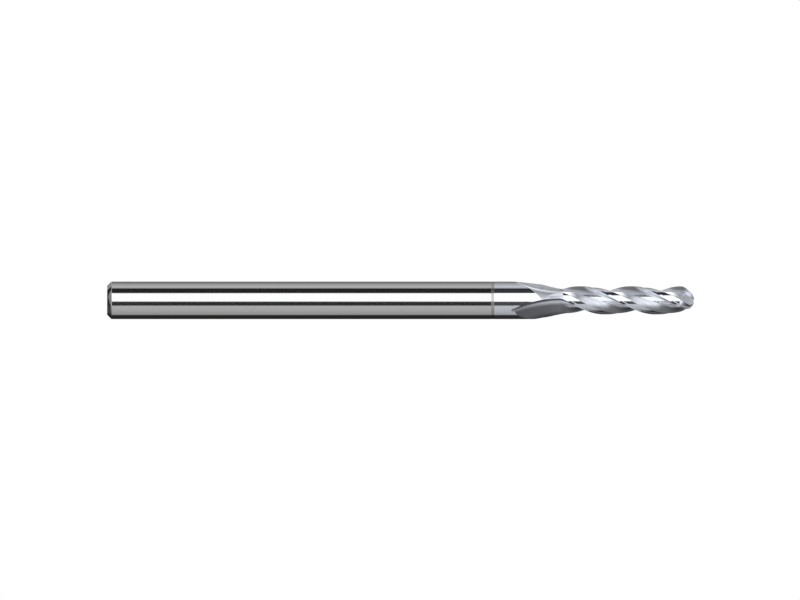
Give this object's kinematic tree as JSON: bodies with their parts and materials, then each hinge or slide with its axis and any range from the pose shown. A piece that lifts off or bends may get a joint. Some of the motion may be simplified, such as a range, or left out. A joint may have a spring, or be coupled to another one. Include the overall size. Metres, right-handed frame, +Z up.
{
  "type": "end_mill",
  "caption": "Ball-nose end mill with a slim ground steel shank and a brazed solid carbide cutting head whose helical flutes run out into the shank diameter",
  "frame": {"origin": "centre of the shank's flat rear end face", "axes": "+X along the tool's axis towards the ball nose; +Z up, the tool lying level"},
  "size_m": [0.0496, 0.0032, 0.0032],
  "materials": {
    "ground_steel": "gloss",
    "braze_filler": "satin",
    "ground_carbide": "gloss"
  },
  "bodies": {
    "root": {"shank": "ground_steel", "braze_joint": "braze_filler", "cutting_head": "ground_carbide"}
  },
  "joints": []
}
